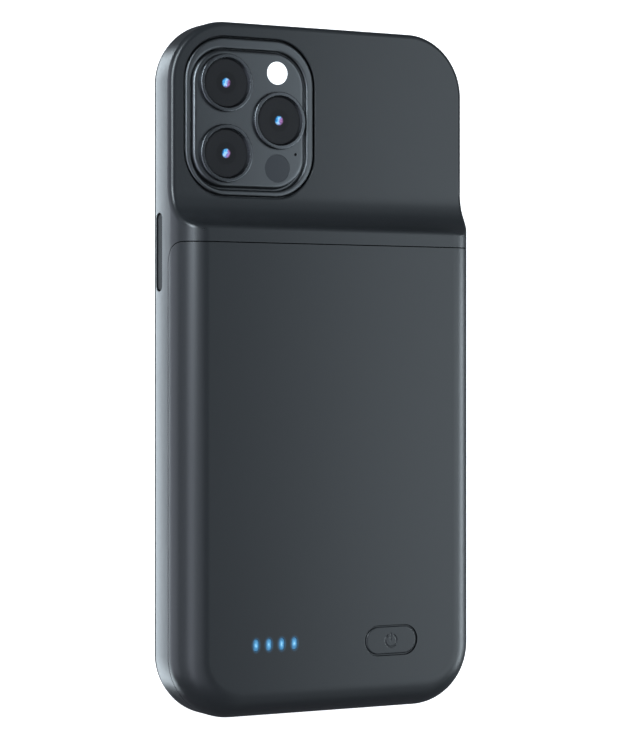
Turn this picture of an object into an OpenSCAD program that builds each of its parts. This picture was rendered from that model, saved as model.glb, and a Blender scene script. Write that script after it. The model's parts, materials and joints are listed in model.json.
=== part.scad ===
/* [Body] */
// Width of the sleeve
body_w = 78; // [70:0.5:90]
// Length of the sleeve from the charging end to the top
body_h = 160; // [145:0.5:175]
// Thickness of the sleeve above the battery hump
sleeve_t = 9.2; // [8.6:0.1:11]
// Thickness over the battery hump
hump_t = 16; // [14.5:0.1:19]
// Radius of the four corners of the outline
corner_r = 14.5; // [14.2:0.1:18]
// Rounding of the open front rim
rim_r = 2; // [1:0.1:3]
// Rounding of the back edge above the hump
back_r = 1.4; // [0.6:0.1:2.5]
// Rounding of the hump along its sides and its foot
hump_r = 6.8; // [4:0.1:6.8]
// Radius of the hollow ramp between the back and the hump
ramp_r = 10; // [7.5:0.1:16]
// Distance from the charging end at which the ramp leaves the back face
ramp_top = 122; // [116:0.1:124]
// Rounding of the crest between the ramp and the hump
crest_r = 1.6; // [0.3:0.1:2]

/* [Phone bay] */
// Width of the bay
bay_w = 71.9; // [64:0.1:73]
// Height of the bay
bay_h = 146.9; // [130:0.1:147]
// Bottom of the bay above the charging end
bay_z = 11; // [10.8:0.1:12]
// Corner radius of the bay
bay_r = 11.6; // [8:0.1:14]
// Thickness of the holding lip round the open front
lip_t = 0.5; // [0.4:0.1:1.2]
// Overhang of the holding lip
lip_over = 0.8; // [0.4:0.1:1.5]
// Depth of the bay behind the lip
bay_d = 7.5; // [6.5:0.1:7.6]
// Thickness of the flocked lining
lining_t = 0.2; // [0.1:0.05:0.5]

/* [Battery cover] */
// Height of the cover's top seam
seam_z = 108.8; // [108:0.1:110]
// Depth of the cover's side seam behind the front rim
seam_d = 8.4; // [8.1:0.1:8.6]
// Corner radius where the two seams meet
seam_r = 5; // [2:0.1:8]
// Wall of the cover
cover_t = 1.4; // [1.2:0.1:1.6]
// Gap in the seam
seam_gap = 0.2; // [0.05:0.05:0.4]

/* [Camera window] */
// Window width
window_w = 33.9; // [33:0.1:36]
// Window height
window_h = 37; // [35:0.1:38]
// Window corner radius
window_r = 10.5; // [9:0.1:12]
// Window centre left of the middle
window_x = 18.45; // [17:0.05:19]
// Window centre above the charging end
window_z = 138.1; // [137:0.1:139]
// Rounding of the window's outer edge
window_edge = 0.4; // [0.1:0.05:0.5]
// Gap between the window's wall and the guard's shoulder
window_gap = 0.5; // [0.2:0.1:0.8]
// Island width
island_w = 28.8; // [28:0.1:30]
// Island height
island_h = 31.5; // [30:0.1:33]
// Island centre left of the window's centre
island_dx = 0.6; // [0:0.1:1]
// Island centre below the window's centre
island_dz = 0.45; // [0:0.05:1]
// Island corner radius
island_r = 8; // [6:0.1:9]
// Height of the island above its shoulder
island_t = 0.8; // [0.6:0.1:1.6]
// Rounding of the island's upper edge
island_edge = 0.7; // [0.2:0.1:0.8]
// Width of the groove round the island
groove_w = 0.65; // [0.4:0.05:0.7]
// Outer diameter of a lens ring
ring_od = 13.4; // [12:0.1:14]
// Diameter of a lens disc
lens_d = 10.8; // [10:0.1:11.6]
// Height of a lens ring above the island
ring_t = 0.8; // [0.6:0.1:1.6]
// Diameter of the light window
flash_d = 5.3; // [3:0.1:5.6]
// Diameter of the sensor window
sensor_d = 6.5; // [4:0.1:6.8]
// Diameter of the microphone's pin hole
mic_d = 0.7; // [0.5:0.1:1]

/* [Power button and lights] */
// Length of the button
button_w = 13.5; // [10:0.1:15]
// Height of the button
button_h = 6.4; // [5:0.1:7]
// Button centre right of the middle
button_x = 15.2; // [14:0.1:18]
// Button centre above the charging end
button_z = 16.3; // [15:0.1:17]
// Gap round the button
button_gap = 0.4; // [0.1:0.05:0.4]
// Rounding of the button's edge
button_edge = 0.35; // [0.1:0.05:0.6]
// Radius of the power sign on the button
sign_r = 1.5; // [1:0.1:2]
// Width of the sign's line
sign_line = 0.35; // [0.2:0.05:0.5]
// Depth of the sign
sign_t = 0.15; // [0.05:0.05:0.4]
// Pitch of the four lights
light_pitch = 3.3; // [3:0.1:3.4]
// Middle of the four lights left of the middle
light_x = 15.5; // [15:0.1:16]
// Middle of the four lights above the charging end
light_z = 16.9; // [16.6:0.1:18]
// Width of a light
light_w = 1.3; // [1:0.1:2]
// Height of a light
light_h = 2.7; // [2:0.1:3]

/* [Keys] */
// Length of the side key
side_key_l = 17.3; // [12:0.1:20]
// Middle of the side key above the charging end
side_key_z = 106.8; // [100:0.1:115]
// Length of a volume key
volume_key_l = 9.6; // [8:0.1:10]
// Middle of the upper volume key
volume_up_z = 113.6; // [113:0.1:114]
// Middle of the lower volume key
volume_down_z = 100.6; // [95:0.1:101]
// Width of a key
key_w = 2.4; // [2:0.1:3.2]
// Middle of the keys behind the front rim
key_d = 3.5; // [3.4:0.1:4.5]
// Gap round a key
key_gap = 0.4; // [0.2:0.05:0.4]
// Length of the opening for the phone's own slide switch
switch_l = 10; // [8:0.1:11]
// Width of that opening
switch_w = 5; // [4:0.1:5.4]
// Middle of that opening above the charging end
switch_z = 127.4; // [127:0.1:130]

/* [Charging end] */
// Number of sound outlets on each side of the port
outlets = 6; // [3:1:7]
// Diameter of a sound outlet
outlet_d = 1.5; // [1:0.1:2]
// Pitch of the sound outlets
outlet_pitch = 2.6; // [2.4:0.1:2.8]
// First outlet from the middle
outlet_x = 16; // [15:0.1:17]

/* [Battery] */
// Cell width
cell_w = 62; // [50:0.5:63]
// Cell height
cell_h = 72; // [60:0.5:72]
// Cell thickness
cell_t = 4.9; // [4:0.1:4.9]

/* [Output] */
// Sub-part to show

/* [Hidden] */

// Depths behind the front rim
floor_z = lip_t + bay_d;
cover_in = hump_t - cover_t + 0.1;
board_lo = sleeve_t + 0.7;
board_hi = board_lo + 1;
plug_d = lip_t + bay_d / 2;

// Ramp and crest, as (height, depth)
ramp_c = [ramp_top, sleeve_t + ramp_r];
crest_d = hump_t - crest_r;
crest_c = [ramp_top - sqrt(pow(ramp_r + crest_r, 2) - pow(ramp_c[1] - crest_d, 2)), crest_d];
crest_end = crest_c + crest_r / (ramp_r + crest_r) * (ramp_c - crest_c);

// Joint between the deck and the cover
deck_gap = 0.3;
snap_r = 0.35;
snap_l = 9;
snap_z = sleeve_t - 0.4;
snap_in = cover_t + 0.2;
tongue_t = 1.3;
tongue_w = 60;

// Camera guard
ledge_t = 0.3;
ledge_w = 0.5;
fit = 0.05;
shoulder_top = floor_z + 1;
groove_t = 0.7;
groove_at = [0.35, -0.15];
island_top = shoulder_top + island_t;
island_c = [-window_x - island_dx, window_z - island_dz];
lens_side = [7.7, 0];
lens_upper = [-6, 8.1];
lens_lower = [-6, -8.1];
flash_at = [7.3, 11];
sensor_at = [7.3, -11.1];
mic_at = [12.1, -7.7];
ring_seat = 0.3;
ring_wall = (ring_od - lens_d) / 2 - fit;
ring_edge = ring_wall / 4;
ring_slope = ring_wall / 3;

// Keys, measured inwards from the wall's outer face
wall_t = (body_w - bay_w) / 2;
key_rest = 0.25;
key_t = 1.9;
key_low = 0.12;
pad_t = 0.7;
pad_h = 3.8;
pad_low = 0.2;
pad_over = 0.7;
pad_gap = 0.4;
pocket_t = 1.2;

// Board, its screws, the cell and the lead between them
board_w = 62;
board_h = 20;
board_z = 18;
screw_x = 27;
screw_z = 20;
pilot_d = 1.4;
boss_d = 4;
head_d = 2.7;
head_t = 0.8;
cell_z = 32;
cell_board_d = sleeve_t + 1.4;
chip_t = 0.85;
lead_x = 6;
lead_w = 8;
film_t = 0.2;
connector_t = 1.2;
light_steps = [-1.5, -0.5, 0.5, 1.5];

// Plug and port in the charging end
cavity_w = 22.8;
cavity_l = 8.6;
cavity_d = 2.2;
port_w = 8.9;
port_h = 3.2;
port_wall = 0.3;
port_l = 7.2;
port_in = 0.25;
port_back = plug_d + 1.6;
port_board_t = 0.8;
plug_w = 6.6;
plug_t = 1.5;
nose_w = 8.1;
nose_t = 2.9;

// Drawn from the charging end up: X across, Y along the sleeve, Z behind the front rim
module placed() {
    translate([0, -body_h / 2, 0])
        children();
}

// Profile drawn as (height, depth) and run across the width
module across(width) {
    translate([-width / 2, 0, 0])
        rotate([90, 0, 90])
            linear_extrude(width)
                children();
}

// Profile drawn as (width, -depth) on the port's middle line and run up from a height
module upwards(z, length) {
    translate([0, z, plug_d])
        rotate([-90, 0, 0])
            linear_extrude(length)
                children();
}

module rrect(w, h, r) {
    square([w - 2 * r, h], center = true);
    square([w, h - 2 * r], center = true);
    for (sx = [-1, 1])
        for (sy = [-1, 1])
            translate([sx * (w / 2 - r), sy * (h / 2 - r)])
                circle(r, $fn = 64);
}

module plate(w, h, r, z0, z1) {
    translate([0, 0, z0])
        linear_extrude(z1 - z0)
            rrect(w, h, r);
}

// Half section of a block, from its corner's centre outwards, with rounded back and front edges
module edge_profile(r, t, back, front) {
    square([r - max(back, front), t]);
    translate([0, front])
        square([r, t - back - front]);
    square([r - front, t / 2]);
    translate([0, t / 2])
        square([r - back, t / 2]);
    if (front > 0)
        translate([r - front, front])
            circle(front, $fn = 64);
    if (back > 0)
        translate([r - back, t - back])
            circle(back, $fn = 96);
}

// Runs a profile, drawn from the corner's centre outwards, round a rounded rectangle
module around(w, h, r) {
    for (m = [0, 1])
        mirror([m, 0, 0])
            translate([w / 2 - r, h / 2 - r, 0])
                rotate([90, 0, 0])
                    linear_extrude(h - 2 * r)
                        children();
    for (m = [0, 1])
        mirror([0, m, 0])
            translate([-(w / 2 - r), h / 2 - r, 0])
                rotate([90, 0, 90])
                    linear_extrude(w - 2 * r)
                        children();
    for (k = [0:3])
        translate([(k == 0 || k == 3 ? 1 : -1) * (w / 2 - r), (k < 2 ? 1 : -1) * (h / 2 - r), 0])
            rotate([0, 0, 90 * k])
                rotate_extrude(angle = 90, $fn = 96)
                    children();
}

// Block with rounded corners and rounded front and back edges
module slab(w, h, r, t, back, front) {
    translate([-(w / 2 - r), -(h / 2 - r), 0])
        cube([w - 2 * r, h - 2 * r, t]);
    around(w, h, r)
        edge_profile(r, t, back, front);
}

// Cutter that rounds the outer edge of a rounded rectangular opening
module edge_cutter(w, h, r, z, round_r) {
    around(w, h, r)
        difference() {
            translate([r - fit, z - round_r])
                square([round_r + fit, 2 * round_r]);
            translate([r + round_r, z - round_r])
                circle(round_r, $fn = 48);
        }
}

// Section along the sleeve up to the hollow ramp, with its rounded crest
module ramp_area() {
    above = hump_t + 2;
    difference() {
        square([ramp_top, hump_t + 1]);
        translate(ramp_c)
            circle(ramp_r, $fn = 128);
        difference() {
            polygon([crest_c, [crest_c[0], above], [crest_end[0], above], crest_end]);
            translate(crest_c)
                circle(crest_r, $fn = 48);
        }
    }
}

// Outer form of the whole back
module outer_form() {
    translate([0, body_h / 2, 0])
        slab(body_w, body_h, corner_r, sleeve_t, back_r, rim_r);
    intersection() {
        translate([0, body_h / 2, 0])
            slab(body_w, body_h, corner_r, hump_t, hump_r, rim_r);
        across(body_w + 2)
            ramp_area();
    }
}

// Section of the form that belongs to the cover, grown by the seam gap
module cover_area(grow) {
    depth = hump_t - seam_d + 4;
    translate([-1, seam_d - grow])
        square([seam_z - seam_r + 1, depth]);
    translate([-1, seam_d + seam_r])
        square([seam_z + grow + 1, depth]);
    translate([seam_z - seam_r, seam_d + seam_r])
        circle(seam_r + grow, $fn = 96);
}

// Inner form of the cover, which the sleeve's deck also follows, smaller by the gap
module hollow_form(gap) {
    translate([0, body_h / 2, 0])
        slab(body_w - 2 * cover_t - gap, body_h - 2 * cover_t - gap, corner_r - cover_t,
            cover_in, hump_r - cover_t, 0);
}

// Half-round ridges on the deck's edge that the cover snaps over, grown by the gap
module snap_ridges(grow) {
    for (s = [-1, 1])
        for (z = [24, 54, 84])
            translate([s * (body_w / 2 - snap_in), z, snap_z])
                rotate([-90, 0, 0])
                    cylinder(h = snap_l, r = snap_r + grow, center = true, $fn = 32);
    for (s = [-1, 1])
        translate([20 * s, snap_in, snap_z])
            rotate([0, 90, 0])
                cylinder(h = snap_l, r = snap_r + grow, center = true, $fn = 32);
}

// Frame of a key, with X measured outwards from the outer face of its wall
module on_wall(side, z) {
    mirror([side < 0 ? 1 : 0, 0, 0])
        translate([body_w / 2, z, key_d])
            children();
}

// Slot for a key and the pocket behind it for the key's pad
module key_slot(side, z, len) {
    on_wall(side, z) {
        translate([-wall_t - 2, 0, 0])
            rotate([0, 90, 0])
                linear_extrude(wall_t + 3)
                    rrect(key_w + 2 * key_gap, len + 2 * key_gap, key_w / 2 + key_gap - 0.05);
        translate([-wall_t - 1, -len / 2 - pad_over - pad_gap, -pad_low - pad_h / 2 - pad_gap])
            cube([pocket_t + 1, len + 2 * (pad_over + pad_gap), pad_h + 2 * pad_gap]);
    }
}

module key(side, z, len) {
    on_wall(side, z) {
        translate([-key_rest - key_t, 0, -key_low])
            rotate([0, 90, 0])
                linear_extrude(key_t)
                    rrect(key_w, len, key_w / 2 - 0.05);
        translate([-key_rest - key_t - pad_t, -len / 2 - pad_over, -pad_low - pad_h / 2])
            cube([pad_t, len + 2 * pad_over, pad_h]);
    }
}

module at_screws() {
    for (s = [-1, 1])
        translate([s * screw_x, screw_z, 0])
            children();
}

// Sleeve without its openings: the form less the cover, and the deck that closes the hump
module sleeve_body() {
    snap_ridges(0);
    difference() {
        outer_form();
        across(body_w + 2)
            cover_area(seam_gap);
    }
    intersection() {
        hollow_form(deck_gap);
        translate([-body_w / 2, 0, floor_z - 0.6])
            cube([body_w, seam_z + 1, sleeve_t - floor_z + 0.6]);
    }
}

module bay_cut() {
    translate([0, bay_z + bay_h / 2, 0]) {
        plate(bay_w, bay_h, bay_r, lip_t, floor_z);
        plate(bay_w - 2 * lip_over, bay_h - 2 * lip_over, bay_r - lip_over, -1, lip_t + 0.1);
    }
}

module window_cut() {
    translate([-window_x, window_z, 0]) {
        plate(window_w, window_h, window_r, floor_z - 0.1, sleeve_t + 1);
        plate(window_w + 2 * ledge_w, window_h + 2 * ledge_w, window_r + ledge_w,
            floor_z - 0.1, floor_z + ledge_t);
        edge_cutter(window_w, window_h, window_r, sleeve_t, window_edge);
    }
}

// Opening through the wall for the phone's own slide switch
module switch_cut() {
    translate([body_w / 2 - wall_t - 2, switch_z, key_d + 0.6])
        rotate([0, 90, 0])
            linear_extrude(wall_t + 3)
                rrect(switch_w, switch_l, 2.3);
}

// Cavity of the charging end, the openings for its port and plug, and the sound outlets
module end_cuts() {
    translate([-cavity_w / 2, cover_t, cavity_d])
        cube([cavity_w, cavity_l, sleeve_t]);
    upwards(-1, 3)
        rrect(port_w + 0.4, port_h + 0.3, port_h / 2 + 0.1);
    upwards(bay_z - 2, 3)
        rrect(nose_w + 0.1, nose_t + 0.1, 1.2);
    for (s = [-1, 1])
        for (i = [0:outlets - 1])
            translate([s * (outlet_x + outlet_pitch * i), bay_z + 1, plug_d])
                rotate([90, 0, 0])
                    cylinder(h = bay_z + 2, d = outlet_d, $fn = 32);
}

module sleeve() {
    color("#45494d")
    placed()
    difference() {
        union() {
            sleeve_body();
            at_screws()
                translate([0, 0, floor_z])
                    cylinder(h = board_lo - floor_z, d = boss_d, $fn = 48);
        }
        bay_cut();
        window_cut();
        key_slot(-1, side_key_z, side_key_l);
        key_slot(1, volume_up_z, volume_key_l);
        key_slot(1, volume_down_z, volume_key_l);
        switch_cut();
        end_cuts();
        translate([-tongue_w / 2 - 3, seam_z - 1, sleeve_t])
            cube([tongue_w + 6, 3.2, cover_in - sleeve_t]);
        at_screws()
            translate([0, 0, floor_z + 0.5])
                cylinder(h = 4, d = pilot_d, $fn = 32);
    }
}

// Stiffening ribs moulded inside the cover, along the cell's sides and across its lower end
module cover_ribs() {
    rib_t = 0.8;
    rib_x = cell_w / 2 + 1.8;
    for (s = [-1, 1])
        translate([s * (rib_x + rib_t / 2) - rib_t / 2, cell_z + 2, cover_in - 3.2])
            cube([rib_t, cell_h - 6, 4]);
    translate([-rib_x, cell_z - 2.6, cover_in - 1.6])
        cube([2 * rib_x, rib_t, 3]);
}

// Tongue at the cover's upper edge, which hooks under the crest
module cover_tongue(play) {
    translate([-tongue_w / 2 - play, seam_z - 3, cover_in - 0.1 - tongue_t - play / 4])
        cube([tongue_w + 2 * play, 4.6 + 3 * play, tongue_t + 1.7 * play]);
}

module battery_cover() {
    color("#45494d")
    placed()
    difference() {
        union() {
            intersection() {
                outer_form();
                across(body_w + 2)
                    cover_area(0);
            }
            cover_tongue(0);
        }
        difference() {
            hollow_form(0);
            cover_tongue(1);
            cover_ribs();
        }
        snap_ridges(fit);
        translate([button_x, button_z, 0])
            plate(button_w + 2 * button_gap, button_h + 2 * button_gap, button_h / 2 + button_gap - 0.01,
                cover_in - 1, hump_t + 1);
        for (i = light_steps)
            translate([i * light_pitch - light_x, light_z, 0])
                plate(light_w + 0.1, light_h + 0.1, light_w / 2, cover_in - 1, hump_t + 1);
    }
}

module bay_lining() {
    color("#3a3d40")
    placed()
    translate([0, bay_z + bay_h / 2 - 20, 0])
        plate(bay_w - 3.9, 103, 8, floor_z - lining_t, floor_z);
}

module at_island(place) {
    translate([island_c[0] + place[0], island_c[1] + place[1], 0])
        children();
}

// Round seat through the guard
module guard_hole(place, d) {
    at_island(place)
        translate([0, 0, floor_z - 1])
            cylinder(h = 4, d = d, $fn = 96);
}

module camera_guard() {
    color("#54595d")
    placed()
    difference() {
        union() {
            difference() {
                translate([-window_x, window_z, 0]) {
                    plate(window_w + 2 * (ledge_w - fit), window_h + 2 * (ledge_w - fit),
                        window_r + ledge_w - fit, floor_z, floor_z + ledge_t);
                    plate(window_w - 2 * window_gap, window_h - 2 * window_gap, window_r - window_gap,
                        floor_z, shoulder_top);
                }
                at_island(groove_at)
                    plate(island_w + 2 * groove_w, island_h + 2 * groove_w, island_r + groove_w,
                        shoulder_top - groove_t, shoulder_top + 1);
            }
            translate([island_c[0], island_c[1], floor_z + 0.1])
                slab(island_w, island_h, island_r, island_top - floor_z - 0.1, island_edge, 0);
        }
        for (place = [lens_upper, lens_lower, lens_side]) {
            guard_hole(place, lens_d + 2 * fit);
            at_island(place)
                translate([0, 0, island_top - ring_seat])
                    cylinder(h = 3, d = ring_od + fit, $fn = 96);
        }
        guard_hole(flash_at, flash_d + fit);
        guard_hole(sensor_at, sensor_d + fit);
        guard_hole(mic_at, mic_d);
    }
}

// Ring with a rounded outer edge and a slope down to its disc
module lens_ring(place) {
    inner = lens_d / 2 + fit;
    outer = inner + ring_wall;
    top = ring_seat + ring_t;
    placed()
    at_island(place)
        translate([0, 0, island_top - ring_seat])
            rotate_extrude($fn = 128) {
                polygon([[inner, 0], [outer, 0], [outer, top - ring_edge], [outer - ring_edge, top],
                    [inner + ring_slope, top], [inner, ring_seat + 0.1]]);
                translate([outer - ring_edge, top - ring_edge])
                    circle(ring_edge, $fn = 32);
            }
}

module lens_glass(place) {
    placed()
    at_island(place)
        translate([0, 0, floor_z + 0.1])
            cylinder(h = island_top - floor_z, d = lens_d, $fn = 128);
}

module lens_ring_upper() {
    color("#5c6166")
    lens_ring(lens_upper);
}

module lens_ring_lower() {
    color("#5c6166")
    lens_ring(lens_lower);
}

module lens_ring_side() {
    color("#5c6166")
    lens_ring(lens_side);
}

module lens_glass_upper() {
    color("#08090b")
    lens_glass(lens_upper);
}

module lens_glass_lower() {
    color("#08090b")
    lens_glass(lens_lower);
}

module lens_glass_side() {
    color("#08090b")
    lens_glass(lens_side);
}

module sensor_window() {
    color("#33373a")
    placed()
    at_island(sensor_at)
        translate([0, 0, floor_z + 0.5])
            cylinder(h = island_top - floor_z - 0.55, d = sensor_d, $fn = 96);
}

module flash_window() {
    color("#f4f4f2")
    placed()
    at_island(flash_at)
        translate([0, 0, floor_z + 0.5])
            cylinder(h = island_top - floor_z - 0.5, d = flash_d, $fn = 96);
}

module battery_cell() {
    color("#8e9296")
    placed()
    translate([0, cell_z + cell_h / 2, sleeve_t + 0.25])
        slab(cell_w, cell_h, 2.4, cell_t, 1.2, 1.2);
}

module cell_pads() {
    color("#d8d8d4")
    placed()
    for (s = [-1, 1])
        translate([s * 16 - 10, cell_z + 4, sleeve_t])
            cube([20, cell_h - 9, 0.25]);
}

// Strip with the cell's protection circuit, on its lower end
module cell_board() {
    color("#1f5b3a")
    placed()
    translate([-22, cell_z - 2.6, cell_board_d])
        cube([44, 2.6, 0.8]);
}

// Flat lead that rises from the cell's strip and runs down to the board's connector
module battery_lead() {
    color("#c98a2b")
    placed()
    union() {
        translate([lead_x, cell_z - 9.5, board_hi + connector_t])
            cube([lead_w, 8, film_t]);
        translate([lead_x, cell_z - 1.7, cell_board_d + 0.8])
            cube([lead_w, film_t, board_hi + connector_t - cell_board_d - 0.8]);
    }
}

module lead_connector() {
    color("#d9d6cc")
    placed()
    translate([lead_x - 0.5, cell_z - 10, board_hi])
        cube([lead_w + 1, 3.4, connector_t]);
}

module main_board() {
    color("#1f5b3a")
    placed()
    difference() {
        translate([0, board_z, 0])
            plate(board_w, board_h, 2, board_lo, board_hi);
        at_screws()
            translate([0, 0, board_lo - 1])
                cylinder(h = 4, d = pilot_d + 0.3, $fn = 32);
    }
}

// Each chip as its corner and its two sides
module board_chips() {
    color("#17181a")
    placed()
    for (chip = [[-27, 10.5, 6, 6], [-3, 16, 5, 5], [24, 10.5, 3.4, 4.2]])
        translate([chip[0], chip[1], board_hi])
            cube([chip[2], chip[3], chip_t]);
}

module inductor() {
    color("#3b3c3e")
    placed()
    translate([-11.6, 8.5, board_hi])
        cube([6.2, 6.2, 2.4]);
}

module board_capacitors() {
    color("#b59a72")
    placed()
    for (i = [0:3])
        translate([4.2, 10.4 + 2.4 * i, board_hi])
            cube([1.9, 1.2, 1]);
}

module led_lamps() {
    color("#f2f3ec")
    placed()
    for (i = light_steps)
        translate([i * light_pitch - light_x - 0.5, light_z - 0.8, board_hi])
            cube([1, 1.6, 0.6]);
}

// Four bars that stand over the lamps, on one rail under the cover
module light_guide() {
    color("#8fc3ff")
    placed()
    union() {
        translate([-light_x, light_z, 0])
            plate(3 * light_pitch + light_w + 1.9, light_h + 1.5, 1.2, cover_in - 1.1, cover_in);
        for (i = light_steps)
            translate([i * light_pitch - light_x, light_z, 0])
                plate(light_w, light_h, light_w / 2 - 0.01, board_hi + 0.9, hump_t - 0.05);
    }
}

module power_switch() {
    color("#b9bcc0")
    placed()
    union() {
        translate([button_x - 2.2, button_z - 2.2, board_hi])
            cube([4.4, 4.4, 1.4]);
        translate([button_x, button_z, board_hi + 1.3])
            cylinder(h = 0.4, d = 2.2, $fn = 48);
    }
}

// Broken ring with a bar in its gap
module power_sign() {
    difference() {
        cylinder(h = 1, r = sign_r + sign_line / 2, $fn = 64);
        translate([0, 0, -1])
            cylinder(h = 3, r = sign_r - sign_line / 2, $fn = 64);
        translate([-2 * sign_line, 0, -1])
            cube([4 * sign_line, 3, 3]);
    }
    translate([-sign_line / 2, 0, 0])
        cube([sign_line, sign_r + 0.3, 1]);
}

// Button with a flange that keeps it under the cover and a stem over the switch
module power_button() {
    stem_d = board_hi + 2.15;
    face_d = hump_t - 0.05;
    color("#4b5054")
    placed()
    union() {
        difference() {
            translate([button_x, button_z, cover_in - 0.9])
                slab(button_w, button_h, button_h / 2 - 0.01, face_d - cover_in + 0.9, button_edge, 0);
            translate([button_x, button_z - 0.1, face_d - sign_t])
                power_sign();
        }
        translate([button_x, button_z, 0])
            plate(button_w + 2.6, button_h + 2, button_h / 2, cover_in - 0.9, cover_in - 0.1);
        translate([button_x, button_z, stem_d])
            cylinder(h = cover_in - 0.5 - stem_d, d = 2.6, $fn = 48);
    }
}

// Cross-head screws that hold the board on the sleeve's bosses
module board_screws() {
    tip = floor_z + 0.7;
    color("#9a9da1")
    placed()
    at_screws() {
        translate([0, 0, tip])
            cylinder(h = board_hi - tip, d = pilot_d - 0.02, $fn = 32);
        difference() {
            translate([0, 0, board_hi])
                cylinder(h = head_t, d = head_d, $fn = 48);
            for (a = [0, 90])
                rotate([0, 0, a])
                    translate([-0.9, -0.15, board_hi + 0.45])
                        cube([1.8, 0.3, 1]);
        }
    }
}

module phone_plug() {
    color("#c9ccd0")
    placed()
    upwards(bay_z - 0.4, 7.1)
        rrect(plug_w, plug_t, plug_t / 2 - 0.01);
}

// Moulding that carries the plug, with a nose through the bay's lower wall
module plug_base() {
    color("#2b2d2f")
    placed()
    difference() {
        union() {
            translate([-5.4, bay_z - 3.3, plug_d - 1.85])
                cube([10.8, 2.25, 3.45]);
            upwards(bay_z - 2, 2.1)
                rrect(nose_w, nose_t, 1.15);
        }
        upwards(bay_z - 0.4, 2)
            rrect(plug_w, plug_t, plug_t / 2 - 0.01);
    }
}

module port_board() {
    color("#1f5b3a")
    placed()
    translate([-cavity_w / 2 + 0.6, cover_t + 0.3, port_back])
        cube([cavity_w - 1.2, cavity_l - 0.6, port_board_t]);
}

// Flat cable from the port's board up to the main board
module board_flex() {
    film_x = -4;
    film_w = 8;
    back = port_back + port_board_t;
    color("#c98a2b")
    placed()
    union() {
        translate([film_x, 3, back])
            cube([film_w, 4.2, film_t]);
        translate([film_x, 7, back])
            cube([film_w, film_t, board_lo - back]);
        translate([film_x, 7, board_lo - film_t])
            cube([film_w, 5.5, film_t]);
    }
}

module charge_port() {
    color("#b4b7bb")
    placed()
    difference() {
        upwards(port_in, port_l)
            rrect(port_w, port_h, port_h / 2 - 0.05);
        upwards(port_in - 1, port_l + 0.5)
            rrect(port_w - 2 * port_wall, port_h - 2 * port_wall, port_h / 2 - 0.05 - port_wall);
    }
}

module port_tongue() {
    color("#232425")
    placed()
    upwards(port_in + 0.95, port_l - 1.45)
        square([6.7, 0.7], center = true);
}

module side_key() {
    color("#45494d")
    placed()
    key(-1, side_key_z, side_key_l);
}

module volume_up_key() {
    color("#45494d")
    placed()
    key(1, volume_up_z, volume_key_l);
}

module volume_down_key() {
    color("#45494d")
    placed()
    key(1, volume_down_z, volume_key_l);
}

sleeve();
battery_cover();
bay_lining();
camera_guard();
lens_ring_upper();
lens_ring_lower();
lens_ring_side();
lens_glass_upper();
lens_glass_lower();
lens_glass_side();
sensor_window();
flash_window();
battery_cell();
cell_pads();
cell_board();
battery_lead();
lead_connector();
main_board();
board_chips();
inductor();
board_capacitors();
led_lamps();
light_guide();
power_switch();
power_button();
board_screws();
phone_plug();
plug_base();
port_board();
board_flex();
charge_port();
port_tongue();
side_key();
volume_up_key();
volume_down_key();
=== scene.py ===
"""Back clip power bank: looks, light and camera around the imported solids."""
import json
import math

import bmesh
import bpy
from mathutils import Matrix, Vector
from mathutils.bvhtree import BVHTree
from mathutils.interpolate import poly_3d_calc


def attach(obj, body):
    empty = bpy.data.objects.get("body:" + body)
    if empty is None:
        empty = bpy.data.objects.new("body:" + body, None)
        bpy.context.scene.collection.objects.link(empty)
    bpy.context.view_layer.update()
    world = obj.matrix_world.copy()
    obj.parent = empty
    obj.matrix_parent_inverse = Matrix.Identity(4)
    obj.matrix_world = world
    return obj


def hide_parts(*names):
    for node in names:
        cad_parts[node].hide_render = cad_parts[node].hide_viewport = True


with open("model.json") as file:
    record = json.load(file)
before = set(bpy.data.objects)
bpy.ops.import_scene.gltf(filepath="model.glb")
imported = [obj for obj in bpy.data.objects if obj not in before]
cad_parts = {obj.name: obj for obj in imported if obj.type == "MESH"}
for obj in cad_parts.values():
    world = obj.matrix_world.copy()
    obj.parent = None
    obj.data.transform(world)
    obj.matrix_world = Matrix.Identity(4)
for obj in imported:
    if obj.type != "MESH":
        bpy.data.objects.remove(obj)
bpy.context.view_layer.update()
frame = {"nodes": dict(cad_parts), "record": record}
nodes = frame["nodes"]

MM = 0.001

# Camera, fitted to the outline in the photograph
IMAGE_W = 631
FOCAL_PX = 2581.0
YAW = math.radians(28.53)
CAMERA_DISTANCE = 613.1
CAMERA_SIDE = 3.22
CAMERA_UP = 0.95
SENSOR_WIDTH = 36.0

# Form of the shell in millimetres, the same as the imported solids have
HALF_W = 39.0
HALF_H = 80.0
CORNER_R = 14.5
SLEEVE_T = 9.2
HUMP_T = 16.0
RIM_R = 2.0
EDGE_R = 1.4
HUMP_R = 6.8
BALL_R = HUMP_R - EDGE_R
RAMP_R = 10.0
RAMP_TOP = 42.0
CREST_R = 1.6

# Places on the back in millimetres
LIGHT_X = -15.5
LIGHT_Y = -63.1
LIGHT_PITCH = 3.3
BUTTON_X = 15.2
BUTTON_Y = -63.7
BUTTON_R = 3.2
BUTTON_HALF = 3.55
BUTTON_GAP = 0.4
LENSES = [(-25.05, 65.75), (-25.05, 49.55), (-11.35, 57.65)]
RING_R = 6.7
FLASH = (-11.75, 68.65)
FLASH_R = 2.65
SENSOR = (-11.75, 46.55)
SENSOR_R = 3.25
MICROPHONE = (-6.95, 49.95)
MICROPHONE_R = 0.35
GLASS_TOP = 9.9
GUARD_WINDOWS = [*((lens, RING_R) for lens in LENSES), (FLASH, FLASH_R), (SENSOR, SENSOR_R),
                 (MICROPHONE, MICROPHONE_R)]

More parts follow.
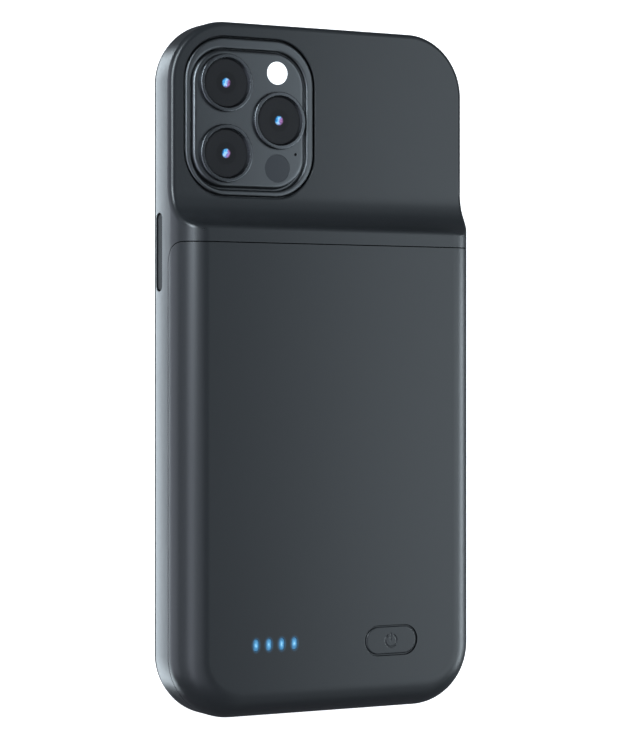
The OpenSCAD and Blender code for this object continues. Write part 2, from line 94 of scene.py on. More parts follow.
# Linear colours: finishes, then light
SHELL_COLOUR = (0.0123, 0.0138, 0.0153)
KEY_COLOUR = (0.0035, 0.004, 0.005)
GUARD_COLOUR = (0.108, 0.113, 0.118)
RING_COLOUR = (0.105, 0.11, 0.117)
LENS_COLOUR = (0.0165, 0.0165, 0.0175)
COOL = (0.88, 1.0, 1.08)
DUSK = (0.93, 1.0, 1.15)


def new_material(name):
    material = bpy.data.materials.new(name)
    material.use_nodes = True
    tree = material.node_tree
    tree.nodes.clear()
    output = tree.nodes.new("ShaderNodeOutputMaterial")
    shader = tree.nodes.new("ShaderNodeBsdfPrincipled")
    tree.links.new(shader.outputs["BSDF"], output.inputs["Surface"])
    return material, tree, shader


def shader_of(material):
    return next(node for node in material.node_tree.nodes if node.type == "BSDF_PRINCIPLED")


def object_coords(tree):
    coords = tree.nodes.new("ShaderNodeTexCoord")
    return coords.outputs["Object"]


def noise(tree, scale, detail=3.0, roughness=0.5):
    node = tree.nodes.new("ShaderNodeTexNoise")
    node.inputs["Scale"].default_value = scale
    node.inputs["Detail"].default_value = detail
    node.inputs["Roughness"].default_value = roughness
    tree.links.new(object_coords(tree), node.inputs["Vector"])
    return node.outputs["Fac"]


def ramp(tree, value, stops, smooth=False):
    node = tree.nodes.new("ShaderNodeValToRGB")
    node.color_ramp.interpolation = "EASE" if smooth else "LINEAR"
    elements = node.color_ramp.elements
    while len(elements) < len(stops):
        elements.new(0.5)
    for element, (place, colour) in zip(elements, stops):
        element.position = place
        element.color = (*colour, 1.0)
    tree.links.new(value, node.inputs["Fac"])
    return node.outputs["Color"]


def span(tree, value, low, high, start=0.0, end=1.0):
    node = tree.nodes.new("ShaderNodeMapRange")
    node.inputs["From Min"].default_value = start
    node.inputs["From Max"].default_value = end
    node.inputs["To Min"].default_value = low
    node.inputs["To Max"].default_value = high
    tree.links.new(value, node.inputs["Value"])
    return node.outputs["Result"]


def bump(tree, shader, height, strength, distance, edge=0.0):
    node = tree.nodes.new("ShaderNodeBump")
    node.inputs["Strength"].default_value = strength
    node.inputs["Distance"].default_value = distance
    tree.links.new(height, node.inputs["Height"])
    if edge > 0:
        rounded = tree.nodes.new("ShaderNodeBevel")
        rounded.samples = 6
        rounded.inputs["Radius"].default_value = edge
        tree.links.new(rounded.outputs["Normal"], node.inputs["Normal"])
    tree.links.new(node.outputs["Normal"], shader.inputs["Normal"])


def tinted(colour, factor):
    return tuple(min(1.0, c * factor) for c in colour)


# Scales of the noise in the finishes, in waves per metre
DRIFT = 38.0
LENS_DRIFT = 90.0
UNEVEN = 900.0
GLINT_CLOUD = 1500.0
LIGHT_CLOUD = 1700.0


def grained(name, colour, rough, grain_mm, depth_mm, edge_mm=0.0,
            metallic=0.0, spread=0.08, specular=0.5):
    """A solid finish with a fine grain, a slow drift of tone and uneven roughness."""
    material, tree, shader = new_material(name)
    slow = noise(tree, DRIFT, detail=2.0)
    drift = ramp(tree, slow, [(0.3, tinted(colour, 1 - spread)), (0.7, tinted(colour, 1 + spread))])
    tree.links.new(drift, shader.inputs["Base Color"])
    uneven = span(tree, noise(tree, UNEVEN), rough - 0.02, rough + 0.03)
    tree.links.new(uneven, shader.inputs["Roughness"])
    shader.inputs["Metallic"].default_value = metallic
    shader.inputs["Specular IOR Level"].default_value = specular
    fine = noise(tree, 1.0 / (grain_mm * MM), detail=2.0, roughness=0.6)
    bump(tree, shader, fine, strength=0.35, distance=depth_mm * MM, edge=edge_mm * MM)
    return material, tree, shader


def soft_touch(name, colour, rough=0.36, specular=0.5, edge_mm=0.1):
    """Rubbery coating: a very fine tooth, hardly any change of tone."""
    material, _, _ = grained(name, colour, rough, grain_mm=0.22, depth_mm=0.0022,
                             edge_mm=edge_mm, spread=0.025, specular=specular)
    return material


def shifted(tree, place_mm, reach_mm):
    """Object coordinates counted from a place, in units of its reach."""
    node = tree.nodes.new("ShaderNodeMapping")
    node.vector_type = "POINT"
    node.inputs["Location"].default_value = tuple(-c / r for c, r in zip(place_mm, reach_mm))
    node.inputs["Scale"].default_value = tuple(1 / (r * MM) for r in reach_mm)
    tree.links.new(object_coords(tree), node.inputs["Vector"])
    return node.outputs["Vector"]


def length(tree, vector):
    node = tree.nodes.new("ShaderNodeVectorMath")
    node.operation = "LENGTH"
    tree.links.new(vector, node.inputs[0])
    return node.outputs["Value"]


def combined(tree, operation, first, second):
    node = tree.nodes.new("ShaderNodeMath")
    node.operation = operation
    for value, socket in ((first, node.inputs[0]), (second, node.inputs[1])):
        if isinstance(value, (int, float)):
            socket.default_value = value
        else:
            tree.links.new(value, socket)
    return node.outputs["Value"]


def mixed(tree, factor, below, above):
    node = tree.nodes.new("ShaderNodeMix")
    node.data_type = "RGBA"
    tree.links.new(factor, node.inputs["Factor"])
    tree.links.new(below, node.inputs["A"])
    tree.links.new(above, node.inputs["B"])
    return node.outputs["Result"]


def nearest_light(tree, reach_mm):
    """Distance to the nearest of the four charge lights, in units of the reach."""
    least = None
    for step in (-1.5, -0.5, 0.5, 1.5):
        place = (LIGHT_X + step * LIGHT_PITCH, LIGHT_Y, HUMP_T)
        away = length(tree, shifted(tree, place, reach_mm))
        least = away if least is None else combined(tree, "MINIMUM", least, away)
    return least


def painted_glow_around_lights(material):
    """Paints a glow of the four lights into the coating beside their bars, as emission."""
    tree = material.node_tree
    shader = shader_of(material)
    away = nearest_light(tree, (1.35, 2.1, 4.0))
    stops = [(0.3, (0.03, 0.2, 0.36)), (0.6, (0.01, 0.06, 0.12)), (1.0, (0, 0, 0))]
    tree.links.new(ramp(tree, away, stops, smooth=True), shader.inputs["Emission Color"])
    shader.inputs["Emission Strength"].default_value = 1.0


def light_bar_material():
    """Frosted bar: pale blue in its middle with a cloudy spread, deep blue at its rim."""
    material, tree, shader = new_material("light_bar")
    shader.inputs["Base Color"].default_value = (0.02, 0.05, 0.09, 1)
    shader.inputs["Roughness"].default_value = 0.35
    away = nearest_light(tree, (0.8, 1.55, 4.0))
    cloud = span(tree, noise(tree, LIGHT_CLOUD, detail=2.0), -0.3, 0.3)
    stops = [(0.0, (0.38, 0.76, 0.98)), (0.28, (0.12, 0.42, 0.72)), (0.6, (0.035, 0.2, 0.4)),
             (1.0, (0.013, 0.075, 0.16))]
    colour = ramp(tree, combined(tree, "ADD", away, cloud), stops)
    tree.links.new(colour, shader.inputs["Emission Color"])
    shader.inputs["Emission Strength"].default_value = 1.0
    return material


# Painted glint of a lens, a reflection on the coated lens painted into the colour: its radius
# in millimetres, the soft rims of the glint and of the barrel round it in units of that radius, its
# slant, and the colours of the painted reflection across it from left to right
GLINT_R = 1.15
GLINT_RIM = (0.72, 1.02)
BARREL_RIM = (2.1, 2.3)
GLINT_SLANT = -0.45
PAINTED_GLINT_STOPS = [(0.0, (0.01, 0.09, 0.25)), (0.28, (0.07, 0.38, 0.72)), (0.45, (0.42, 0.62, 0.8)),
               (0.6, (0.12, 0.2, 0.5)), (0.78, (0.38, 0.16, 0.36)), (1.0, (0.1, 0.05, 0.12))]


def lens_material():
    """Black masked glass with a painted glint, the coated lens's reflection painted into the colour,
    in each middle.
    """
    material, tree, shader = new_material("lens_black")
    colour = ramp(tree, noise(tree, LENS_DRIFT, detail=2.0),
                  [(0.3, tinted(LENS_COLOUR, 0.95)), (0.7, tinted(LENS_COLOUR, 1.05))])
    for x, y in LENSES:
        around = shifted(tree, (x, y, GLASS_TOP), (GLINT_R, GLINT_R, 5.0))
        away = length(tree, around)
        barrel = ramp(tree, away, [(0.0, LENS_COLOUR), (1.0, tinted(LENS_COLOUR, 0.8))])
        colour = mixed(tree, span(tree, away, 1.0, 0.0, *BARREL_RIM), colour, barrel)
        parts = tree.nodes.new("ShaderNodeSeparateXYZ")
        tree.links.new(around, parts.inputs["Vector"])
        slant = combined(tree, "MULTIPLY", parts.outputs["Y"], GLINT_SLANT)
        lean = combined(tree, "ADD", parts.outputs["X"], slant)
        cloud = span(tree, noise(tree, GLINT_CLOUD, detail=2.0), -0.9, 0.9)
        place = span(tree, combined(tree, "ADD", lean, cloud), 0.0, 1.0, -1.0, 1.0)
        # painted glint: a coloured reflection of the coated lens, painted into the base colour
        painted_glint = ramp(tree, place, PAINTED_GLINT_STOPS)
        colour = mixed(tree, span(tree, away, 1.0, 0.0, *GLINT_RIM), colour, painted_glint)
    tree.links.new(colour, shader.inputs["Base Color"])
    shader.inputs["Roughness"].default_value = 0.3
    shader.inputs["Specular IOR Level"].default_value = 0.1
    return material


# A reach in depth so great that depth doesn't count, and how far beside a window, in millimetres,
# the guard's edges begin to look rounded and are fully so
ANY_DEPTH = 1e6
WINDOW_CLEAR = 0.2
WINDOW_FAR = 0.7


def guard_material():
    """Satin metallic finish whose edges are softly rounded, but not beside its windows."""
    material, tree, _ = grained("guard_satin", GUARD_COLOUR, 0.33, grain_mm=0.25, depth_mm=0.0015,
                                edge_mm=0.5, metallic=1.0, spread=0.03)
    clear = None
    for (x, y), radius in GUARD_WINDOWS:
        away = length(tree, shifted(tree, (x, y, GLASS_TOP), (1.0, 1.0, ANY_DEPTH)))
        free = span(tree, away, 0.0, 1.0, radius + WINDOW_CLEAR, radius + WINDOW_FAR)
        clear = free if clear is None else combined(tree, "MINIMUM", clear, free)
    rounded = next(node for node in tree.nodes if node.type == "BEVEL")
    rounded.samples = 8
    tree.links.new(span(tree, clear, 0.04 * MM, 0.8 * MM), rounded.inputs["Radius"])
    return material


def painted_glow_window():
    """Milky window with a painted glow: emission makes it shine evenly white."""
    material, _, shader = grained("diffuser_white", (0.9, 0.92, 0.93), 0.4,
                                  grain_mm=0.3, depth_mm=0.002)
    # painted glow: emission makes the window shine white
    shader.inputs["Emission Color"].default_value = (1, 1, 1, 1)
    shader.inputs["Emission Strength"].default_value = 0.6
    return material


def painted_gap_shade(material, colour, reach_mm):
    """Paints shade into a finish inside narrow gaps: darker colour and weaker gloss where ambient
    occlusion finds close walls.
    """
    tree = material.node_tree
    shader = shader_of(material)
    closeness = tree.nodes.new("ShaderNodeAmbientOcclusion")
    closeness.samples = 8
    closeness.inputs["Distance"].default_value = reach_mm * MM
    open_share = closeness.outputs["AO"]
    # painted shade: colour and gloss darken where ambient occlusion finds close walls
    painted_shade = ramp(tree, open_share, [(0.25, tinted(colour, 0.05)), (0.8, colour)])
    tree.links.new(painted_shade, shader.inputs["Base Color"])
    tree.links.new(span(tree, open_share, 0.0, 0.5, 0.3, 0.8), shader.inputs["Specular IOR Level"])
    return material


def plain_material(name, colour, rough, metallic=0.0):
    material, _, _ = grained(name, colour, rough, grain_mm=0.3, depth_mm=0.002, metallic=metallic)
    return material


# Inner faces of the shell, with painted shade in their narrow gaps
SHELL_INSIDE = painted_gap_shade(soft_touch("shell_inside", SHELL_COLOUR, 0.38), SHELL_COLOUR,
                           reach_mm=0.8)
SHELL_EDGE = soft_touch("shell_edge", SHELL_COLOUR, 0.3)
COVER_SKIN = soft_touch("cover_soft_touch", SHELL_COLOUR)
# painted glow of the charge lights on the cover's coating
painted_glow_around_lights(COVER_SKIN)
KEY_RUBBER = soft_touch("key_rubber", KEY_COLOUR, 0.5, specular=0.06)
SLOT_MATERIALS = {
    "shell": soft_touch("shell_soft_touch", SHELL_COLOUR),
    "shell_cover": COVER_SKIN,
    "button": soft_touch("button_soft_touch", SHELL_COLOUR, edge_mm=0.3),
    "lining": plain_material("lining_flock", (0.03, 0.032, 0.035), 0.9),
    "guard": guard_material(),
    "ring": grained("ring_anodised", RING_COLOUR, 0.26, grain_mm=0.2, depth_mm=0.0015,
                    edge_mm=0.08, metallic=1.0)[0],
    "lens": lens_material(),
    "sensor": plain_material("sensor_smoked", (0.016, 0.018, 0.022), 0.3),
    "diffuser": painted_glow_window(),
    "cell_foil": plain_material("cell_foil", (0.55, 0.57, 0.58), 0.35, 0.9),
    "foam": plain_material("pad_foam", (0.7, 0.7, 0.67), 0.9),
    "flex_film": plain_material("flex_amber", (0.5, 0.24, 0.06), 0.35),
    "board": plain_material("board_green", (0.02, 0.12, 0.06), 0.35),
    "chip": plain_material("chip_black", (0.015, 0.015, 0.016), 0.5),
    "ferrite": plain_material("ferrite_grey", (0.05, 0.05, 0.052), 0.7),
    "capacitor": plain_material("capacitor_tan", (0.42, 0.32, 0.2), 0.4),
    "lamp": plain_material("lamp_resin", (0.85, 0.9, 0.95), 0.3),
    "guide": light_bar_material(),
    "switch_can": plain_material("switch_steel", (0.6, 0.61, 0.62), 0.35, 1.0),
    "screw": plain_material("screw_steel", (0.5, 0.51, 0.52), 0.3, 1.0),
    "plug_metal": plain_material("plug_steel", (0.72, 0.73, 0.74), 0.22, 1.0),
    "plug_plastic": plain_material("plug_black", (0.03, 0.031, 0.033), 0.5),
    "port_metal": plain_material("port_steel", (0.62, 0.63, 0.64), 0.3, 1.0),
    "connector": plain_material("connector_ivory", (0.6, 0.58, 0.52), 0.5),
}


def dress_nodes():
    """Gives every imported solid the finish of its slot, and the keys their rubber."""
    for entry in frame["record"]["subparts"]:
        materials = nodes[entry["node"]].data.materials
        materials.clear()
        if entry["node"].endswith("_key"):
            materials.append(KEY_RUBBER)
        else:
            materials.append(SLOT_MATERIALS[entry["material_slot"]])


# Skin of the shell

CORNER_X = HALF_W - CORNER_R
CORNER_Y = HALF_H - CORNER_R
TURN_STEPS = 30
RIM_STEPS = 8
CORNER_STEPS = 26
RAMP_STEPS = 30
CREST_STEPS = 16
UPPER_ROWS = (CORNER_Y, 58, 50)
HUMP_ROWS = (20, 0, -20, -40, -CORNER_Y)
WALL_MIDDLE = 5.0
SAME = 1e-6
SMOOTH_ANGLE = math.radians(32)

# Depth of the edge ball below the hump's own place, within which the edge counts as the hump's
HUMP_MARGIN = 0.02

# Least cosine between a face of the skin and the loft's face behind it, and least length of a blend
FACING = 0.8
LEAST_BLEND = 0.1

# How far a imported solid's outer points are moved out, so that the loft alone makes the outer faces
NEAR_SKIN = 0.04
PUSH = 0.4


def back_stations():
    """Points along the back from the camera end down, each with the back's normal there."""
    ramp_z = SLEEVE_T + RAMP_R
    crest_z = HUMP_T - CREST_R
    rise = ramp_z - crest_z
    crest_y = RAMP_TOP - math.sqrt((RAMP_R + CREST_R) ** 2 - rise ** 2)
    steepest = math.acos(rise / (RAMP_R + CREST_R))
    stations = [(y, SLEEVE_T, 0.0, 1.0) for y in UPPER_ROWS]
    for k in range(RAMP_STEPS):
        a = steepest * k / RAMP_STEPS
        sine, cosine = math.sin(a), math.cos(a)
        stations.append((RAMP_TOP - RAMP_R * sine, ramp_z - RAMP_R * cosine, sine, cosine))
    for k in range(CREST_STEPS + 1):
        a = steepest * (1 - k / CREST_STEPS)
        sine, cosine = math.sin(a), math.cos(a)
        stations.append((crest_y + CREST_R * sine, crest_z + CREST_R * cosine, sine, cosine))
    stations += [(y, HUMP_T, 0.0, 1.0) for y in HUMP_ROWS]
    return stations


def side_section(y, z, ny, nz):
    """Points from the back over the edge's rolling-ball rounding, down the wall, round the rim."""
    ball_y = y - EDGE_R * ny
    ball_z = z - EDGE_R * nz
    drop = ball_z - SLEEVE_T
    big_x = HALF_W - HUMP_R
    if drop > 0:
        side_turn = math.asin(min(1.0, drop / BALL_R))
        ball_x = big_x + BALL_R * math.cos(side_turn)
    else:
        side_turn = 0.0
        ball_x = HALF_W - EDGE_R
    start = Vector((0, ny, nz))
    end = Vector((math.cos(side_turn), 0, math.sin(side_turn)))
    edge_turn = start.angle(end) if (start - end).length > SAME else 0.0
    whole = edge_turn + side_turn
    points = []
    for k in range(TURN_STEPS + 1):
        turn = whole * k / TURN_STEPS
        if turn < edge_turn:
            normal = start.slerp(end, turn / edge_turn)
            point = Vector((ball_x, ball_y, ball_z)) + EDGE_R * normal
        else:
            a = side_turn - (turn - edge_turn)
            normal = Vector((math.cos(a), 0, math.sin(a)))
            if side_turn > 0:
                point = Vector((big_x, ball_y, SLEEVE_T)) + HUMP_R * normal
            else:
                point = Vector((ball_x, ball_y, ball_z)) + EDGE_R * normal
        on_edge = turn < edge_turn - SAME and drop < BALL_R - HUMP_MARGIN
        points.append((point, normal, on_edge))
    wall_y = points[-1][0].y
    points.append((Vector((HALF_W, wall_y, WALL_MIDDLE)), Vector((1, 0, 0)), False))
    for k in range(RIM_STEPS + 1):
        a = -math.pi / 2 * k / RIM_STEPS
        normal = Vector((math.cos(a), 0, math.sin(a)))
        point = Vector((HALF_W - RIM_R, wall_y, RIM_R)) + RIM_R * normal
        points.append((point, normal, False))
    return points


def turned_column(section, sign_x, sign_y, turn):
    """The section swung round a corner's centre by a turn that starts at the side wall."""
    column = []
    for point, normal, edge in section:
        reach = point.x - CORNER_X
        place = Vector((sign_x * (CORNER_X + reach * math.cos(turn)),
                        sign_y * (CORNER_Y + reach * math.sin(turn)), point.z))
        lean = Vector((sign_x * normal.x * math.cos(turn),
                       sign_y * normal.x * math.sin(turn), normal.z))
        column.append((place, lean, edge))
    return column


def side_column(section, sign_x):
    """The section as it stands on the right wall, or mirrored on to the left one."""
    return [(Vector((sign_x * p.x, p.y, p.z)), Vector((sign_x * n.x, n.y, n.z)), edge)
            for p, n, edge in section]


def shell_loft(slots):
    """The closed outer form as one mesh in millimetres, with the exact normal of every point."""
    sections = [side_section(*station) for station in back_stations()]
    quarter = [math.pi / 2 * k / CORNER_STEPS for k in range(1, CORNER_STEPS + 1)]
    ring = [side_column(section, 1) for section in sections]
    ring += [turned_column(sections[-1], 1, -1, turn) for turn in quarter]
    ring += [turned_column(sections[-1], -1, -1, turn) for turn in reversed(quarter)]
    ring += [side_column(section, -1) for section in reversed(sections)]
    ring += [turned_column(sections[0], -1, 1, turn) for turn in quarter]
    ring += [turned_column(sections[0], 1, 1, turn) for turn in reversed(quarter)]
    mesh = bmesh.new()
    normals = []
    grid = []
    for column in ring:
        grid.append([mesh.verts.new(place) for place, _, _ in column])
        normals += [lean.normalized() for _, lean, _ in column]
    rows = len(ring[0])
    for j, column in enumerate(grid):
        following = grid[(j + 1) % len(grid)]
        for i in range(rows - 1):
            face = mesh.faces.new((column[i], column[i + 1], following[i + 1], following[i]))
            face.material_index = 1 if ring[j][i][2] else 0
            face.smooth = True
    count = len(sections)
    left_start = count + 2 * CORNER_STEPS
    for k in range(count - 1):
        right_a, right_b = grid[k][0], grid[k + 1][0]
        left_b, left_a = grid[left_start + count - 2 - k][0], grid[left_start + count - 1 - k][0]
        mesh.faces.new((right_a, right_b, left_b, left_a)).smooth = True
    mesh.faces.new([grid[j][0] for j in range(count - 1, left_start + 1)]).smooth = True
    upper = list(range(left_start + count - 1, len(grid))) + [0]
    mesh.faces.new([grid[j][0] for j in upper]).smooth = True
    mesh.faces.new([column[-1] for column in grid]).smooth = True
    bmesh.ops.recalc_face_normals(mesh, faces=mesh.faces)
    data = bpy.data.meshes.new("shell_loft")
    mesh.to_mesh(data)
    mesh.free()
    loft = bpy.data.objects.new("shell_loft", data)
    bpy.context.scene.collection.objects.link(loft)
    for slot in slots:
        data.materials.append(slot)
    return loft, normals


def pushed_solid(node, tree, slots):
    """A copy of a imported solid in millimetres, its outer points moved clear of the loft."""
    mesh = bmesh.new()
    mesh.from_mesh(nodes[node].data)
    bmesh.ops.remove_doubles(mesh, verts=mesh.verts, dist=SAME)
    for vert in mesh.verts:
        vert.co = vert.co / MM
        place, normal, _, _ = tree.find_nearest(vert.co)
        if (vert.co - place).dot(normal) > -NEAR_SKIN:
            vert.co += PUSH * normal
    for face in mesh.faces:
        face.material_index = len(slots) - 1
        face.smooth = False
    data = bpy.data.meshes.new(node + "_cutter")
    mesh.to_mesh(data)
    mesh.free()
    solid = bpy.data.objects.new(node + "_cutter", data)
    bpy.context.scene.collection.objects.link(solid)
    for slot in slots:
        data.materials.append(slot)
    return solid


def common_part(loft, solid, name):
    modifier = loft.modifiers.new("common", "BOOLEAN")
    modifier.operation = "INTERSECT"
    modifier.solver = "EXACT"
    modifier.object = solid
    bpy.context.view_layer.update()
    graph = bpy.context.evaluated_depsgraph_get()
    data = bpy.data.meshes.new_from_object(loft.evaluated_get(graph))
    data.name = name
    loft.modifiers.remove(modifier)
    return data


def round_inside(data, inner_index, result):
    """Shades the inner faces round over edges that turn less than the smooth angle."""
    inner = [face for face in data.polygons if face.material_index == inner_index]
    around = {}
    for face in inner:
        for vertex in face.vertices:
            around.setdefault(vertex, []).append(face)
    limit = math.cos(SMOOTH_ANGLE)
    for face in inner:
        for loop in face.loop_indices:
            blend = Vector((0, 0, 0))
            for other in around[data.loops[loop].vertex_index]:
                if other.normal.dot(face.normal) > limit:
                    blend += other.area * other.normal
            result[loop] = blend.normalized()


def set_true_normals(data, tree, corners, normals, inner_index):
    """Gives every point of the outer skin the loft's own normal, whatever cuts cross it."""
    data.set_sharp_from_angle(angle=SMOOTH_ANGLE)
    result = [corner.vector.copy() for corner in data.corner_normals]
    for face in data.polygons:
        if face.material_index == inner_index:
            continue
        for loop in face.loop_indices:
            point = data.vertices[data.loops[loop].vertex_index].co
            place, flat, index, _ = tree.find_nearest(point)
            if index is None or flat.dot(face.normal) < FACING:
                continue
            around = corners[index]
            if len(around) > 4:
                result[loop] = flat
                continue
            weights = poly_3d_calc([corner for corner, _ in around], place)
            blend = Vector((0, 0, 0))
            for weight, (_, vertex) in zip(weights, around):
                blend += weight * normals[vertex]
            if blend.length > LEAST_BLEND:
                result[loop] = blend.normalized()
    round_inside(data, inner_index, result)
    data.normals_split_custom_set(result)


def discard(spare):
    """Takes a helper object and its mesh out of the scene."""
    mesh = spare.data
    bpy.data.objects.remove(spare)
    bpy.data.meshes.remove(mesh)


def make_skins():
    """Shows the sleeve and the cover through skins cut from their solids by the outer form."""
    pieces = (("sleeve", "sleeve_skin", "shell"), ("battery_cover", "cover_skin", "shell_cover"))
    for node, name, slot in pieces:
        slots = [SLOT_MATERIALS[slot], SHELL_EDGE, SHELL_INSIDE]
        loft, normals = shell_loft(slots)
        faces = [list(face.vertices) for face in loft.data.polygons]
        places = [vertex.co.copy() for vertex in loft.data.vertices]
        tree = BVHTree.FromPolygons(places, faces)
        corners = [[(places[v], v) for v in face] for face in faces]
        solid = pushed_solid(node, tree, slots)
        data = common_part(loft, solid, name)
        set_true_normals(data, tree, corners, normals, len(slots) - 1)
        data.transform(Matrix.Scale(MM, 4))
        skin = bpy.data.objects.new(name, data)
        bpy.context.scene.collection.objects.link(skin)
        discard(loft)
        discard(solid)
        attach(skin, "housing")
        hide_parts(node)


SKIRT_STEPS = 96
SKIRT_SMOOTH_ANGLE = math.radians(40)


def stadium(half_length, radius, z):
    """Points of a rounded bar's outline round the button's middle."""
    points = []
    for k in range(SKIRT_STEPS):
        turn = 2 * math.pi * (k + 0.5) / SKIRT_STEPS
        side = 1 if math.cos(turn) > 0 else -1
        points.append(Vector((BUTTON_X + side * half_length + radius * math.cos(turn),
                              BUTTON_Y + radius * math.sin(turn), z)))
    return points


def make_button_skirt():
    """Soft collar moulded on the button, which fills the foot of its gap in the cover."""
    inner, outer = BUTTON_R - 0.1, BUTTON_R + BUTTON_GAP - 0.03
    foot, top = HUMP_T - 1.3, HUMP_T - 0.4
    section = [(inner, foot), (outer, foot), (outer, top - 0.02), (outer - 0.06, top + 0.06),
               (outer - 0.16, top + 0.08), (inner + 0.16, top + 0.02), (inner, top)]
    mesh = bmesh.new()
    rows = [[mesh.verts.new(point * MM) for point in stadium(BUTTON_HALF, radius, z)]
            for radius, z in section]
    for k, row in enumerate(rows):
        above = rows[(k + 1) % len(rows)]
        for i in range(len(row)):
            j = (i + 1) % len(row)
            mesh.faces.new((row[i], row[j], above[j], above[i])).smooth = True
    bmesh.ops.recalc_face_normals(mesh, faces=mesh.faces)
    data = bpy.data.meshes.new("button_skirt")
    mesh.to_mesh(data)
    mesh.free()
    data.set_sharp_from_angle(angle=SKIRT_SMOOTH_ANGLE)
    data.materials.append(SLOT_MATERIALS["button"])
    skirt = bpy.data.objects.new("button_skirt", data)
    bpy.context.scene.collection.objects.link(skirt)
    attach(skirt, "power_button")


def make_camera():
    """Camera over the back, leaned to the left wall, with the camera end up in the picture."""
    data = bpy.data.cameras.new("camera")
    data.sensor_fit = "HORIZONTAL"
    data.sensor_width = SENSOR_WIDTH
    data.lens = FOCAL_PX / IMAGE_W * SENSOR_WIDTH
    data.clip_start = 0.01
    camera = bpy.data.objects.new("camera", data)
    bpy.context.scene.collection.objects.link(camera)
    right = Vector((math.cos(YAW), 0, math.sin(YAW)))
    up = Vector((0, 1, 0))
    back = right.cross(up)
    place = (right * CAMERA_SIDE + up * CAMERA_UP + back * CAMERA_DISTANCE) * MM
    turn = Matrix((right, up, back)).transposed().to_4x4()
    camera.matrix_world = Matrix.Translation(place) @ turn
    bpy.context.scene.camera = camera


def panel(name, centre_mm, toward_mm, across_mm, along_mm, radiance, colour=COOL):
    """Soft rectangle of a given brightness: one side across the sleeve, the other along it."""
    centre = Vector(centre_mm) * MM
    back = (centre - Vector(toward_mm) * MM).normalized()
    across = Vector((0, 1, 0)).cross(back).normalized()
    along = back.cross(across)
    data = bpy.data.lights.new(name, "AREA")
    data.shape = "RECTANGLE"
    data.size = across_mm * MM
    data.size_y = along_mm * MM
    data.energy = radiance * math.pi * data.size * data.size_y
    data.color = colour
    light = bpy.data.objects.new(name, data)
    bpy.context.scene.collection.objects.link(light)
    turn = Matrix((across, along, back)).transposed().to_4x4()
    light.matrix_world = Matrix.Translation(centre) @ turn
    light.visible_camera = False


# Height in millimetres that the arc of sky panels is drawn round
SKY_Z = 12


def sky_panel(name, elevation, distance, low_y, high_y, height, radiance, colour=COOL):
    """Panel on an arc over the sleeve: 0 is the right horizon, 90 overhead, 180 the left one."""
    turn = math.radians(elevation)
    middle = (low_y + high_y) / 2
    centre = (distance * math.cos(turn), middle, SKY_Z + distance * math.sin(turn))
    panel(name, centre, (0, middle, SKY_Z), height, high_y - low_y, radiance, colour)


# The floor's half size and height in metres, and how far inside the sleeve's outline, in
# millimetres, its painted shadow ends
FLOOR_HALF = 2.5
FLOOR_Z = -0.02 * MM
PAINTED_SHADOW_INSET = 0.55


def outside_sleeve(tree):
    """Distance on the floor in millimetres from a line just inside the sleeve's outline."""
    value = object_coords(tree)
    steps = [("SCALE", 1 / MM), ("ABSOLUTE", None), ("SUBTRACT", (CORNER_X, CORNER_Y, 1.0)),
             ("MAXIMUM", (0, 0, 0))]
    for operation, amount in steps:
        node = tree.nodes.new("ShaderNodeVectorMath")
        node.operation = operation
        if operation == "SCALE":
            node.inputs["Scale"].default_value = amount
        elif amount:
            node.inputs[1].default_value = amount
        tree.links.new(value, node.inputs[0])
        value = node.outputs["Vector"]
    return combined(tree, "SUBTRACT", length(tree, value), CORNER_R - PAINTED_SHADOW_INSET)


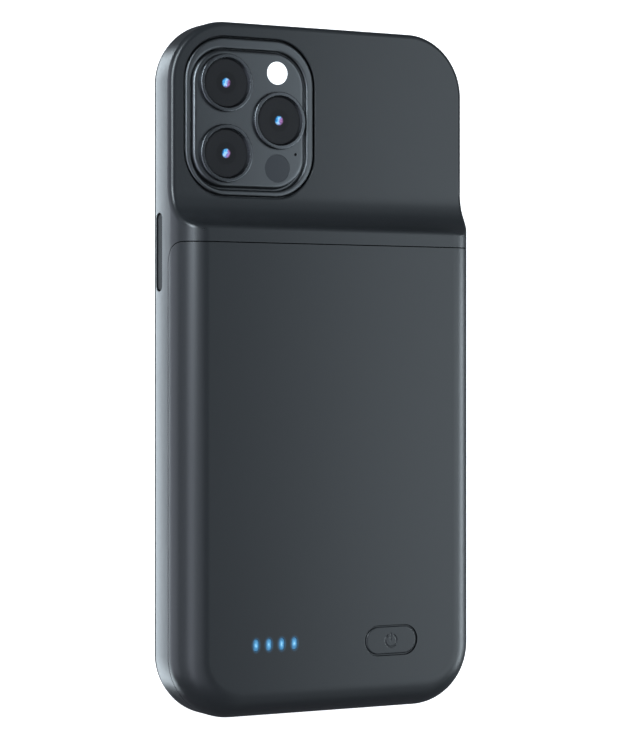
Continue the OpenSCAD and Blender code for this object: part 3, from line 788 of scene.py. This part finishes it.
def make_floor():
    """Pale floor that shines evenly, with a painted shadow: dark under the sleeve, from a line just
    inside its outline.
    """
    mesh = bpy.data.meshes.new("floor")
    corners = [(-1, -1), (1, -1), (1, 1), (-1, 1)]
    points = [(x * FLOOR_HALF, y * FLOOR_HALF, FLOOR_Z) for x, y in corners]
    mesh.from_pydata(points, [], [(0, 1, 2, 3)])
    floor = bpy.data.objects.new("floor", mesh)
    bpy.context.scene.collection.objects.link(floor)
    floor.visible_glossy = False
    material, tree, shader = new_material("floor_white")
    outside = outside_sleeve(tree)
    pale = ramp(tree, noise(tree, 3.0, 2.0), [(0.3, (0.86, 0.86, 0.86)), (0.7, (0.88, 0.88, 0.88))])
    # painted shadow: dark floor colour under the sleeve
    painted_shade = ramp(tree, outside, [(0.0, (0.03, 0.03, 0.03)), (1.0, (0.06, 0.06, 0.06))])
    edge = span(tree, outside, 0.0, 1.0, 0.0, 0.1)
    tree.links.new(mixed(tree, edge, painted_shade, pale), shader.inputs["Base Color"])
    shader.inputs["Roughness"].default_value = 0.9
    shader.inputs["Specular IOR Level"].default_value = 0.0
    shader.inputs["Emission Color"].default_value = (1, 1, 1, 1)
    # painted shadow: the floor's glow stops under the sleeve
    tree.links.new(span(tree, outside, 0.0, 0.9, 0.0, 0.1), shader.inputs["Emission Strength"])
    mesh.materials.append(material)


def make_light():
    """Soft panels, each there for one stretch of the gloss in the photograph."""
    world = bpy.data.worlds.new("world")
    bpy.context.scene.world = world
    world.use_nodes = True
    background = world.node_tree.nodes["Background"]
    background.inputs["Color"].default_value = (*DUSK, 1)
    background.inputs["Strength"].default_value = 0.1

    # Gloss of the flat back, and its fade over the ramp and the lower end
    panel("over_right", (205, -3, 200), (205, -3, 0), across_mm=230, along_mm=346, radiance=1.36)
    panel("over_wide", (210, 0, 206), (210, 0, 0), across_mm=220, along_mm=900, radiance=0.45)

    # Line along the hump's far edge
    sky_panel("right_horizon", 10, 160, -118, 40, height=46, radiance=6.5)

    # Soft bands on the hump's near edge
    sky_panel("left_horizon", 173, 420, -360, 360, height=110, radiance=0.7, colour=DUSK)
    sky_panel("left_soft", 142, 420, -360, 100, height=190, radiance=2.4, colour=DUSK)
    sky_panel("left_upper", 112, 420, -360, 60, height=240, radiance=0.8, colour=DUSK)

    # Bright lines on the near edges of the camera end and the island
    sky_panel("left_high", 132, 420, 75, 420, height=130, radiance=15.0)

    # Near wall, bright at the rim and darker towards the back
    panel("left_card", (-HALF_W - 16, 0, -9), (-HALF_W, 0, -9),
          across_mm=34, along_mm=160, radiance=1.2, colour=DUSK)
    panel("wall_card", (-HALF_W - 4, 0, -16.5), (-HALF_W, 0, -16.5),
          across_mm=25, along_mm=170, radiance=6.8)


def set_view():
    view = bpy.context.scene.view_settings
    view.view_transform = "Standard"
    view.look = "None"


dress_nodes()
make_skins()
make_button_skirt()
make_camera()
make_floor()
make_light()
set_view()
